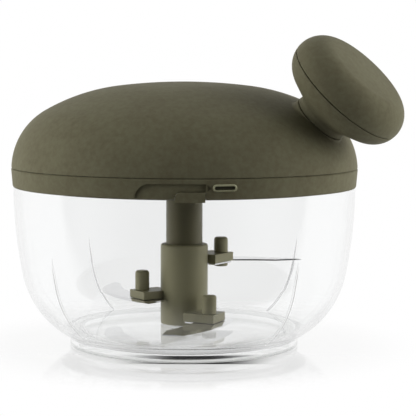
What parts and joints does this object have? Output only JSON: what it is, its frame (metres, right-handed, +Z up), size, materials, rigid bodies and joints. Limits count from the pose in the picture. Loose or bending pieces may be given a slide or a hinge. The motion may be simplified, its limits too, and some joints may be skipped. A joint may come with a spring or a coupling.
{
  "type": "crank food chopper",
  "caption": "Hand food chopper with a clear bowl, a lid whose dome is cranked by a tilted mushroom knob, and a geared knife with sickle blades.",
  "frame": {"origin": "on the bowl's axis, in the plane of the foot ring that the chopper stands on", "axes": "+Z up along the axis of bowl, dome and knife; -Y is the front, where the release tab is; +X is the side to which the knob leans at rest"},
  "size_m": [0.1668, 0.1512, 0.1351],
  "materials": {
    "olive_plastic": "matte, very finely grained, olive green",
    "clear_bowl": "clear polished plastic",
    "soft_rubber": "soft translucent grey silicone",
    "acetal": "off-white low-friction plastic",
    "steel": "turned stainless steel",
    "blade_steel": "bright ground stainless steel"
  },
  "bodies": {
    "bowl": {"bowl": "clear_bowl", "foot_ring": "soft_rubber", "centre_pin": "steel"},
    "lid": {"lid_body": "olive_plastic", "lid_seal": "soft_rubber", "shaft_bush": "acetal", "glide_ring": "acetal", "planet_axles": "steel", "gear_cover": "acetal", "cover_screws": "steel"},
    "release_tab": {"release_tab": "olive_plastic"},
    "planet_1": {"planet_gear_1": "acetal"},
    "planet_2": {"planet_gear_2": "acetal"},
    "planet_3": {"planet_gear_3": "acetal"},
    "crank": {"crank_dome": "olive_plastic", "drive_ring": "acetal", "dome_screws": "steel", "knob_bolt": "steel", "knob_washer": "steel"},
    "knob": {"knob_body": "olive_plastic", "knob_cap": "olive_plastic"},
    "drive": {"drive_shaft": "olive_plastic", "sun_gear": "acetal", "shaft_washer": "steel", "shaft_screw": "steel"},
    "knife": {"knife_hub": "olive_plastic", "blade_pegs": "olive_plastic", "blade_low": "blade_steel", "blade_mid": "blade_steel", "blade_top": "blade_steel"}
  },
  "joints": [
    {"name": "lid_lift", "type": "slide", "parent": "bowl", "child": "lid", "axis": [0, 0, 1], "range_m": [0, 0.06]},
    {"name": "crank_turn", "type": "hinge", "parent": "lid", "child": "crank", "pos_m": [0, 0, 0.08], "axis": [0, 0, 1], "continuous": true},
    {"name": "knob_spin", "type": "hinge", "parent": "crank", "child": "knob", "pos_m": [0.06763, -0.03596, 0.1126], "axis": [0.6243, -0.332, 0.7071], "continuous": true},
    {"name": "planet_turn_1", "type": "hinge", "parent": "lid", "child": "planet_1", "pos_m": [0.02728, 0.01575, 0.081], "axis": [0, 0, 1], "continuous": true},
    {"name": "planet_turn_2", "type": "hinge", "parent": "lid", "child": "planet_2", "pos_m": [-0.02728, 0.01575, 0.081], "axis": [0, 0, 1], "continuous": true},
    {"name": "planet_turn_3", "type": "hinge", "parent": "lid", "child": "planet_3", "pos_m": [0, -0.0315, 0.081], "axis": [0, 0, 1], "continuous": true},
    {"name": "shaft_turn", "type": "hinge", "parent": "lid", "child": "drive", "pos_m": [0, 0, 0.08], "axis": [0, 0, 1], "continuous": true},
    {"name": "knife_turn", "type": "hinge", "parent": "bowl", "child": "knife", "pos_m": [0, 0, 0.02], "axis": [0, 0, 1], "continuous": true},
    {"name": "tab_flex", "type": "hinge", "parent": "lid", "child": "release_tab", "pos_m": [0.0082, -0.07415, 0.0708], "axis": [0, 0, 1], "range_deg": [0, 8], "stiffness_Nm_per_rad": 0.05}
  ],
  "couplings": [
    {"joint": "planet_turn_1", "follows": "crank_turn", "ratio": 2.75},
    {"joint": "planet_turn_2", "follows": "crank_turn", "ratio": 2.75},
    {"joint": "planet_turn_3", "follows": "crank_turn", "ratio": 2.75},
    {"joint": "shaft_turn", "follows": "crank_turn", "ratio": -3.6667},
    {"joint": "knife_turn", "follows": "crank_turn", "ratio": -3.6667}
  ]
}
